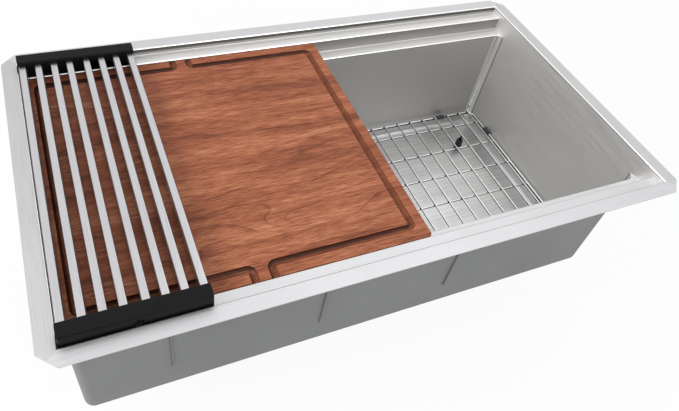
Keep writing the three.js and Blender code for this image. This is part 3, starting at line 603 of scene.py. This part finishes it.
washer = turned("drain_fibre_washer", [(43.8, -249.6), (56.5, -249.6), (56.5, -250.6), (43.8, -250.6),
                                       (43.8, -249.6)])
soften(washer, 0.15 * mm)
washer.data.materials.append(plain_rubber("pressed_fibre", "#a8946a", "#cdbb90", 900))
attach(washer, "sink")
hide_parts("drain_friction_ring")

nut_bore, nut_radius, lug_radius, nut_middle = 43.8, 48.8, 54.8, -255.9
nut_top, nut_foot = nut_middle + 5, nut_middle - 5
lock_nut = turned("drain_lock_nut", [
    (nut_bore, nut_top), (nut_radius, nut_top), (nut_radius, nut_middle + 3), (nut_radius, nut_middle - 3),
    (nut_radius, nut_foot), (nut_bore, nut_foot), (nut_bore, nut_top)])
# Six lugs, each three facets or 15 degrees wide, are drawn out of the middle of its side.
pick("FACE", lambda c, n: abs(c.z - nut_middle * mm) < 2 * mm and c.xy.length > (nut_radius - 1) * mm
     and abs((math.degrees(math.atan2(c.y, c.x)) + 30) % 60 - 30) < 7.6)
widened = lug_radius / nut_radius
draw_out(size=(widened, widened, 1), centre=(0, 0, nut_middle * mm))
soften(lock_nut, 0.5 * mm)
lock_nut.data.materials.append(drain_steel)
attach(lock_nut, "sink")
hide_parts("drain_locknut")

# ---------- Strainer ----------
# The basket that lifts out of the drain: a thin pressed steel cup with slots in its side and bottom, a turned
# knob on a post through its middle, and a black rubber stopper under it.
cup_floor = -268.7


def in_slot(c, n):
    """True for one facet in six of the cup's floor, and of its side half way between those."""
    facet = round((math.degrees(math.atan2(c.y, c.x)) - 2.5) / 5) % 6
    in_floor = near(c.z, cup_floor * mm) and 11 * mm < c.xy.length < 30 * mm
    in_side = -264 * mm < c.z < -252 * mm
    return (in_floor and facet == 0) or (in_side and facet == 3)


basket = turned("strainer_cup", [
    (3.4, cup_floor), (9, cup_floor), (10.5, cup_floor), (30.5, cup_floor), (34.6, -268.5), (36.1, -267.2),
    (36.6, -264.5), (38.6, -251.5), (39.4, -248), (40, -245.7)])
# The lids that close the post's hole and the cup's mouth come off, and then the slots are cut.
pick("FACE", lambda c, n: abs(n.z) > 0.99 and c.xy.length < 5 * mm)
bpy.ops.mesh.delete(type="ONLY_FACE")
pick("FACE", in_slot)
bpy.ops.mesh.delete(type="FACE")
finish_with(basket, "SOLIDIFY", thickness=0.9 * mm, offset=0)
smooth(basket)
basket.data.materials.append(drain_steel)
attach(basket, "basket")
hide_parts("strainer_basket")

post = turned("strainer_post", [
    (2.4, -284.9), (3, -284.4), (3, -280.6), (6.2, -280.6), (6.5, -280.2), (6.5, -269.9), (6.2, -269.5), (3, -269.5),
    (3, -267.9), (6.5, -267.9), (6, -266), (4.6, -265.2), (3, -264.8), (3, -248.2), (8, -248.2), (9.4, -247.6),
    (10, -246.2), (10, -243.4), (9.3, -242), (7.6, -241.3), (4, -241.3)], 48)
smooth(post)
post.data.materials.append(drain_steel)
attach(post, "basket")
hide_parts("basket_post")

stopper = turned("strainer_stopper", [
    (3.4, -285.9), (21.6, -285.9), (23.4, -285.3), (24, -284.4), (23.6, -283.2), (21, -282.2), (9, -281),
    (7.2, -280.9), (3.4, -280.9), (3.4, -285.9)])
smooth(stopper)
stopper.data.materials.append(plain_rubber("black_stopper_rubber", "#1a1a1b", "#2a2a2b", 400))
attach(stopper, "basket")
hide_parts("basket_stopper")

# ---------- Cutting board ----------
# A slab of oiled reddish-brown hardwood that slides on the lower ledges, its grain along the sink. A ball-nosed
# cutter left two loops of juice groove that run out at the middle of its front and rear edges.
board_low, board_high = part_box("cutting_board")
board_centre = (board_low + board_high) / 2
board_size = board_high - board_low
select_only()
bpy.ops.mesh.primitive_cube_add(size=1, location=board_centre, scale=board_size)
board = begin("board_slab")
pick("EDGE", lambda a, b: near(a.x, b.x) and near(a.y, b.y))
bpy.ops.mesh.bevel(offset=5 * mm, segments=8)
pick("FACE", lambda c, n: abs(n.z) > 0.99)
bpy.ops.mesh.region_to_loop()
bpy.ops.mesh.bevel(offset=1.2 * mm, segments=3)

# Each loop is cut by a round bar laid along the cutter's path, its middle 0.3 mm under the board's face.
groove_side, outlet, past_edge = 181.3 * mm, 11.4 * mm, 206 * mm
cutter_radius, cutter_bend, cutter_level = 4.8 * mm, 6 * mm, board_high.z - 0.3 * mm
for side, end_x in ((-1, -379.6 * mm), (1, 14.4 * mm)):
    spout_x = board_centre.x + side * outlet
    route = [(spout_x, -past_edge), (spout_x, -groove_side), (end_x, -groove_side), (end_x, groove_side),
             (spout_x, groove_side), (spout_x, past_edge)]
    select_only()
    bpy.ops.mesh.primitive_plane_add(size=mm)
    cutter = begin("groove_cutter")
    bpy.ops.mesh.merge(type="CENTER")
    bpy.ops.transform.translate(value=(*route[0], cutter_level))
    for (ax, ay), (bx, by) in zip(route, route[1:]):
        draw_out(move=(bx - ax, by - ay, 0))
    pick("VERT", lambda p: abs(p.y) < board_high.y)
    bpy.ops.mesh.bevel(offset=cutter_bend, segments=8, affect="VERTICES")
    bpy.ops.object.mode_set(mode="OBJECT")
    bpy.ops.object.convert(target="CURVE")
    cutter.data.bevel_depth = cutter_radius
    cutter.data.bevel_resolution = 6
    cutter.data.use_fill_caps = True
    bpy.ops.object.convert(target="MESH")
    bpy.ops.object.mode_set(mode="EDIT")
    turn_faces_out()
    finish_with(board, "BOOLEAN", operation="DIFFERENCE", solver="MANIFOLD", object=cutter)
    bpy.data.objects.remove(cutter)
smooth(board, 40)


def oiled_hardwood(name, tones):
    """Reddish hardwood, sanded and oiled: satin, with fibres, streaks and veins along the sink."""
    material, tree = bare_material(name)
    place = add_node(tree, "ShaderNodeTexCoord").outputs["Object"]
    # The tree's growth layers, cut at a shallow slant: a slow wander bends them into long waves along the board.
    slow = add_node(tree, "ShaderNodeMapping", {"Vector": place, "Scale": (2.4, 9, 9), "Location": (0.35, 0.2, 0)})
    wander = add_node(tree, "ShaderNodeTexNoise", {
        "Vector": slow.outputs[0], "Scale": 1, "Detail": 3, "Roughness": 0.5})
    across = add_node(tree, "ShaderNodeSeparateXYZ", {"Vector": place})
    # Some 30 layers to the metre across the board, each ended by a thin dark vein.
    level = add_node(tree, "ShaderNodeMath", {0: across.outputs["Y"], 1: 30}, operation="MULTIPLY")
    height = add_node(tree, "ShaderNodeMath", {
        0: wander.outputs["Fac"], 1: 5, 2: level.outputs[0]}, operation="MULTIPLY_ADD")
    # Near the front two shallow domes in the layers are cut open, as nested arches: middle, reach and layers.
    for middle_x, middle_y, reach_x, reach_y, layers in ((-112, -128, 118, 44, 3.4), (-278, -158, 88, 40, 2.8)):
        arch_place = add_node(tree, "ShaderNodeMapping", {
            "Vector": place, "Location": (middle_x * mm, middle_y * mm, board_high.z),
            "Scale": (reach_x * mm, reach_y * mm, 0.1)}, vector_type="TEXTURE")
        dome = add_node(tree, "ShaderNodeTexGradient", {
            "Vector": arch_place.outputs[0]}, gradient_type="QUADRATIC_SPHERE")
        height = add_node(tree, "ShaderNodeMath", {
            0: dome.outputs["Fac"], 1: layers, 2: height.outputs[0]}, operation="MULTIPLY_ADD")
    layer = add_node(tree, "ShaderNodeMath", {0: height.outputs[0]}, operation="FRACT")
    vein = add_node(tree, "ShaderNodeValToRGB", {
        "Fac": layer.outputs[0]}, stops=((0.0, "#000000"), (0.6, "#202020"), (0.88, "#808080"), (0.95, "#ffffff"),
        (1.0, "#000000")))
    # A vein comes and goes over a finger's length.
    fade_place = add_node(tree, "ShaderNodeMapping", {"Vector": place, "Scale": (14, 40, 40)})
    fade = add_node(tree, "ShaderNodeTexNoise", {"Vector": fade_place.outputs[0], "Scale": 1, "Detail": 1})
    strength = add_node(tree, "ShaderNodeMapRange", {
        "Value": fade.outputs["Fac"], "From Min": 0.4, "From Max": 0.62, "To Min": -0.03, "To Max": -0.12})
    # Broad streaks of deeper and paler heartwood, some 250 mm long and 20 mm wide.
    streak_place = add_node(tree, "ShaderNodeMapping", {"Vector": place, "Scale": (4, 50, 50)})
    streaks = add_node(tree, "ShaderNodeTexNoise", {
        "Vector": streak_place.outputs[0], "Scale": 1, "Detail": 5, "Roughness": 0.6, "Distortion": 0.3})
    # Fibres, 25 mm long: real ones are 0.1 mm wide, drawn 1 mm wide so that they show.
    fibre_place = add_node(tree, "ShaderNodeMapping", {
        "Vector": place, "Rotation": (0, 0, math.radians(1.5)), "Scale": (42, 950, 950)})
    fibres = add_node(tree, "ShaderNodeTexNoise", {
        "Vector": fibre_place.outputs[0], "Scale": 1, "Detail": 3, "Roughness": 0.7, "Distortion": 0.1})
    streak_share = add_node(tree, "ShaderNodeMath", {0: streaks.outputs["Fac"], 1: 0.44}, operation="MULTIPLY")
    figure = add_node(tree, "ShaderNodeMath", {
        0: fibres.outputs["Fac"], 1: 0.56, 2: streak_share.outputs[0]}, operation="MULTIPLY_ADD")
    veined = add_node(tree, "ShaderNodeMath", {
        0: vein.outputs["Color"], 1: strength.outputs[0], 2: figure.outputs[0]}, operation="MULTIPLY_ADD")
    # Open pores, 0.2 mm wide and some 10 mm long in the wood, drawn 1 mm wide, as fine dark dashes.
    pore_place = add_node(tree, "ShaderNodeMapping", {
        "Vector": place, "Rotation": (0, 0, math.radians(-3)), "Scale": (60, 1000, 1000)})
    pores = add_node(tree, "ShaderNodeTexNoise", {"Vector": pore_place.outputs[0], "Scale": 1, "Detail": 1})
    dashes = add_node(tree, "ShaderNodeMapRange", {
        "Value": pores.outputs["Fac"], "From Min": 0.55, "From Max": 0.63, "To Min": 0.01, "To Max": -0.06})
    pored = add_node(tree, "ShaderNodeMath", {0: veined.outputs[0], 1: dashes.outputs[0]}, operation="ADD")
    tone = add_node(tree, "ShaderNodeValToRGB", {"Fac": pored.outputs[0]}, stops=tones)
    relief = add_node(tree, "ShaderNodeBump", {
        "Height": fibres.outputs["Fac"], "Strength": 0.5, "Distance": 0.3 * mm})
    wood = add_node(tree, "ShaderNodeBsdfPrincipled", {
        "Base Color": tone.outputs["Color"], "Roughness": 0.55, "Specular IOR Level": 0.3,
        "Normal": relief.outputs[0]})
    add_node(tree, "ShaderNodeOutputMaterial", {"Surface": wood.outputs[0]})
    return material


# The groove is the same wood, written darker: painted shade, deepest on its flanks that face right or
# forwards.
board.data.materials.clear()
for name, tones in (
    ("oiled_reddish_hardwood", ((0.3, "#572b1b"), (0.43, "#85482e"), (0.52, "#a66142"), (0.63, "#c78763"))),
    ("groove_shade_wood", ((0.26, "#45200f"), (0.45, "#7a4128"), (0.66, "#a0613f"))),
    ("shaded_groove_wood", ((0.26, "#2a1109"), (0.45, "#45200f"), (0.66, "#603420"))),
):
    board.data.materials.append(oiled_hardwood(name, tones))
inside_edge = 1.5 * mm
for face in board.data.polygons:
    c, n = face.center, face.normal
    if (n.z < 0.999 and c.z > board_high.z - 6 * mm and abs(c.x - board_centre.x) < board_size.x / 2 - inside_edge
            and abs(c.y) < board_size.y / 2 - inside_edge):
        face.material_index = 2 if n.x > 0.25 or n.y < -0.4 else 1
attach(board, "board")
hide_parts("cutting_board")

# ---------- Rack rails ----------
# Two black mouldings of fine-textured plastic that hold the bars' ends and slide on the upper ledges. Each is
# slit from below at its middle, where the thin web left over the slit is the hinge.
moulded_plastic, tree = bare_material("fine_textured_black_plastic")
place = add_node(tree, "ShaderNodeTexCoord").outputs["Object"]
# Spark-eroded texture of about 0.5 mm, drawn 1 mm.
spark = add_node(tree, "ShaderNodeTexNoise", {"Vector": place, "Scale": 1000, "Detail": 2})
tone = add_node(tree, "ShaderNodeValToRGB", {
    "Fac": spark.outputs["Fac"]}, stops=((0.3, "#0e0e0f"), (0.75, "#171718")))
texture = add_node(tree, "ShaderNodeBump", {"Height": spark.outputs["Fac"], "Strength": 0.3, "Distance": 0.1 * mm})
plastic = add_node(tree, "ShaderNodeBsdfPrincipled", {
    "Base Color": tone.outputs["Color"], "Roughness": 0.55, "Specular IOR Level": 0.12,
    "Normal": texture.outputs[0]})
add_node(tree, "ShaderNodeOutputMaterial", {"Surface": plastic.outputs[0]})
seam, inner_face, slit_half, slit_top = -322.2 * mm, 201.3 * mm, 4.4 * mm, 8.3 * mm
web_back, web_thick, edge_radius = 0.6 * mm, 5 * mm, 0.6 * mm
for side, facing in (("front", -1), ("rear", 1)):
    for half, body, away in (("left", "rack", -1), ("right", "rack_wing", 1)):
        node = f"rack_{side}_rail_{half}"
        low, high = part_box(node)
        rail = copied(cad_nodes[node], f"rack_{side}_{half}_moulding", Matrix.Identity(4))
        rail.parent = None
        # The copy keeps none of the CAD node's own marks.
        for key in list(rail.keys()):
            del rail[key]
        select_only(rail)
        bpy.ops.object.mode_set(mode="EDIT")
        turn_faces_out()
        bpy.ops.mesh.dissolve_limited(angle_limit=math.radians(2))
        # The two halves meet at the hinge.
        pick("VERT", lambda p: abs(p.x - seam) < 0.3 * mm)
        bpy.ops.transform.resize(value=(0, 1, 1), center_override=(seam, 0, 0))
        # The free end is rounded above and on its outer side, and then every sharp edge but those at the seam.
        free_end = high.x if away > 0 else low.x
        outer_face = low.y if facing < 0 else high.y
        pick("EDGE", lambda a, b: near(a.x, free_end) and near(b.x, free_end) and (
            (near(a.z, high.z) and near(b.z, high.z)) or (near(a.y, outer_face) and near(b.y, outer_face))))
        bpy.ops.mesh.bevel(offset=2.5 * mm, segments=5, clamp_overlap=True)
        bpy.ops.mesh.select_mode(type="EDGE")
        bpy.ops.mesh.select_all(action="DESELECT")
        bpy.ops.mesh.edges_select_sharp(sharpness=math.radians(35))
        shape = bmesh.from_edit_mesh(rail.data)
        for edge in shape.edges:
            if all(near(end.co.x, seam) for end in edge.verts):
                edge.select = False
        shape.select_flush_mode()
        bmesh.update_edit_mesh(rail.data)
        bpy.ops.mesh.bevel(offset=edge_radius, segments=3)
        # The slit is blind: a web closes it on the side of the bars.
        bpy.ops.mesh.select_all(action="DESELECT")
        bpy.ops.mesh.primitive_cube_add(
            size=1, location=(seam + away * slit_half / 2, facing * (inner_face + web_back + web_thick / 2),
                              (low.z + slit_top) / 2 + 0.3 * mm),
            scale=(slit_half, web_thick, slit_top - low.z))
        smooth(rail)
        rail.data.materials.clear()
        rail.data.materials.append(moulded_plastic)
        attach(rail, body)
        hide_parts(node)

# ---------- Rack bars ----------
# Eight flat tubes of stainless steel, brushed along their length, with their ends in the rails' sockets. They
# measure a little wider in the photograph than their CAD nodes are.
bar_low, bar_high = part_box("rack_bar_1")
bar_size = bar_high - bar_low
bar_size.x = 9.2 * mm
select_only()
bpy.ops.mesh.primitive_cube_add(size=1, location=(0, 0, (bar_low.z + bar_high.z) / 2), scale=bar_size)
first_bar = begin("bar_tube")
pick("EDGE", lambda a, b: near(a.x, b.x) and near(a.z, b.z))
bpy.ops.mesh.bevel(offset=1.3 * mm, segments=4)
smooth(first_bar, 40)
# The rounded edges show as dark lines, which this white studio doesn't give, so they are written darker.
for bar_steel in (
    brushed_steel("brushed_bar_steel", "Y", "#cfcdd0", "#c2c1c4", 0.25, 0.36, 0.06 * mm),
    brushed_steel("dark_bar_edge_steel", "Y", "#6f6a69", "#5c5756", 0.3, 0.45, 0.02 * mm),
):
    first_bar.data.materials.append(bar_steel)
for face in first_bar.data.polygons:
    face.material_index = 1 if 0.4 < abs(face.normal.z) < 0.85 else 0
for i in range(1, 9):
    low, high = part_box(f"rack_bar_{i}")
    bar = copied(first_bar, f"bar_tube_{i}", Matrix.Translation(((low.x + high.x) / 2, 0, 0)))
    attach(bar, "rack" if i <= 4 else "rack_wing")
    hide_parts(f"rack_bar_{i}")
bpy.data.objects.remove(first_bar)

# ---------- Bottom grid ----------
# Stainless wires welded where they cross: short ones on top of long ones, on a thicker frame with bent
# corners, and a ring that leaves the drain free. Electropolished.
# Its sides and underside are written near black: a painted dark reflection.
wire_steel = polished_steel("electropolished_wire", "#f4f5f5", 0.14, "#141415")
frame_x, frame_y, frame_z = 394 * mm, 172.5 * mm, -212 * mm
frame_radius, frame_bend, wire_radius, wire_end = 2.5 * mm, 15 * mm, 1.6 * mm, 1.2 * mm
short_z, long_z = -208.2 * mm, -211.1 * mm
ring_radius, ring_wire, ring_z = 50 * mm, 2 * mm, -209.65 * mm
long_places = [side * place * mm for place in (28.25, 84.75, 141.25) for side in (-1, 1)]
pitch, outermost = 27.88 * mm, 383.5 * mm
short_places = [i * pitch for i in range(-13, 14)] + [-outermost, outermost]
welded = []


def wire(start, end, radius):
    """A straight round wire between two points, its ends a little rounded."""
    a, b = Vector(start), Vector(end)
    select_only()
    bpy.ops.mesh.primitive_cylinder_add(vertices=14, radius=radius, depth=(b - a).length, location=(a + b) / 2,
                                        rotation=(b - a).to_track_quat("Z", "Y").to_euler())
    piece = begin("grid_wire")
    pick("FACE", lambda c, n: (c - a).length < 0.1 * mm or (c - b).length < 0.1 * mm)
    bpy.ops.mesh.region_to_loop()
    bpy.ops.mesh.bevel(offset=radius * 0.35, segments=2)
    return piece


def runs(place, reach):
    """Where a wire this far from the middle starts and ends: from side to side, or in two parts at the ring."""
    if abs(place) >= ring_radius:
        return [(-reach, reach)]
    ring_edge = math.sqrt(ring_radius ** 2 - place ** 2)
    return [(side * ring_edge, side * reach) for side in (-1, 1)]


for x in short_places:
    for start, end in runs(x, frame_y + wire_end):
        welded.append(wire((x, start, short_z), (x, end, short_z), wire_radius))
for y in long_places:
    for start, end in runs(y, frame_x):
        welded.append(wire((start, y, long_z), (end, y, long_z), wire_radius))

select_only()
bpy.ops.mesh.primitive_plane_add(size=1, location=(0, 0, frame_z))
loop = begin("grid_frame_wire")
bpy.ops.transform.resize(value=(2 * frame_x, 2 * frame_y, 1), center_override=(0, 0, frame_z))
bpy.ops.mesh.bevel(offset=frame_bend, segments=8, affect="VERTICES")
bpy.ops.mesh.select_all(action="SELECT")
bpy.ops.mesh.delete(type="ONLY_FACE")
bpy.ops.object.mode_set(mode="OBJECT")
bpy.ops.object.convert(target="CURVE")
loop.data.bevel_depth = frame_radius
loop.data.bevel_resolution = 3
bpy.ops.object.convert(target="MESH")
select_only()
bpy.ops.mesh.primitive_torus_add(major_radius=ring_radius, minor_radius=ring_wire, major_segments=72,
                                 minor_segments=14, location=(0, 0, ring_z))
welded.append(bpy.context.object)

# A flattened weld spot where two wires cross, about as big as the wires are thick.
select_only()
bpy.ops.mesh.primitive_ico_sphere_add(subdivisions=2, radius=1.75 * mm)
spot = begin("weld_spot")
bpy.ops.transform.resize(value=(1.1, 1.1, 0.75), center_override=(0, 0, 0))
bpy.ops.object.mode_set(mode="OBJECT")
for x in short_places:
    for y in long_places:
        if math.hypot(x, y) > ring_radius:
            welded.append(copied(spot, "weld_spot", Matrix.Translation((x, y, (short_z + long_z) / 2))))
bpy.data.objects.remove(spot)
select_only(*welded, loop)
bpy.ops.object.join()
loop.name = "grid_wires"
bpy.ops.object.mode_set(mode="EDIT")
bpy.ops.mesh.select_all(action="SELECT")
bpy.ops.mesh.normals_make_consistent(inside=False)
smooth(loop, 50)
bpy.ops.object.transform_apply(location=True, rotation=True, scale=True)
loop.data.materials.clear()
loop.data.materials.append(wire_steel)
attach(loop, "grid")
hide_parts("bottom_grid")

# ---------- Grid legs ----------
# Six short stubs of stainless wire, cut straight and welded under the short wires. Each stands in a rubber
# foot.
leg_radius = 2 * mm
for i in range(1, 7):
    low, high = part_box(f"grid_leg_{i}")
    middle = (low + high) / 2
    leg = wire((middle.x, middle.y, low.z), (middle.x, middle.y, high.z), leg_radius)
    leg.name = f"grid_stub_{i}"
    smooth(leg, 50)
    leg.data.materials.append(wire_steel)
    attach(leg, "grid")
    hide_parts(f"grid_leg_{i}")

# ---------- Grid feet ----------
# Six tapered boots of black rubber, moulded and pushed on to the legs, each with a wide sole that grips the
# floor.
boot_rubber = plain_rubber("black_boot_rubber", "#1d1d1e", "#303031", 350)
first_boot = turned("grid_boot", [
    (5.6, 0), (6.6, 0.3), (7, 1.1), (7, 3.6), (6.8, 5), (6.1, 20.8), (5.6, 21.7), (4.8, 22), (2.7, 22), (2.5, 21.6),
    (2.5, 9)], 32)
smooth(first_boot)
first_boot.data.materials.append(boot_rubber)
for i in range(1, 7):
    low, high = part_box(f"grid_foot_{i}")
    sole = ((low.x + high.x) / 2, (low.y + high.y) / 2, low.z)
    boot = copied(first_boot, f"grid_boot_{i}", Matrix.Translation(sole))
    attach(boot, "grid")
    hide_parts(f"grid_foot_{i}")
bpy.data.objects.remove(first_boot)

# ---------- Grid bumpers ----------
# Eight moulded sleeves of dark rubber on the frame's wire, which keep the steel of the grid off the bowl's
# walls.
sleeve_rubber = plain_rubber("dark_sleeve_rubber", "#2a2a2b", "#3c3c3e", 350)
first_sleeve = turned("grid_sleeve", [
    (2.9, -9), (3.6, -9), (4.1, -8.6), (4.3, -8), (4.3, 8), (4.1, 8.6), (3.6, 9), (2.9, 9), (2.9, -9)], 24)
smooth(first_sleeve)
first_sleeve.data.materials.append(sleeve_rubber)
for name in [n for n in cad_nodes if n.startswith("grid_bumper_")]:
    low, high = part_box(name)
    lies_along_x = high.x - low.x > high.y - low.y
    lay_down = Matrix.Rotation(math.pi / 2, 4, "Y" if lies_along_x else "X")
    sleeve = copied(first_sleeve, name.replace("bumper", "sleeve"), Matrix.Translation((low + high) / 2) @ lay_down)
    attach(sleeve, "grid")
    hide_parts(name)
bpy.data.objects.remove(first_sleeve)
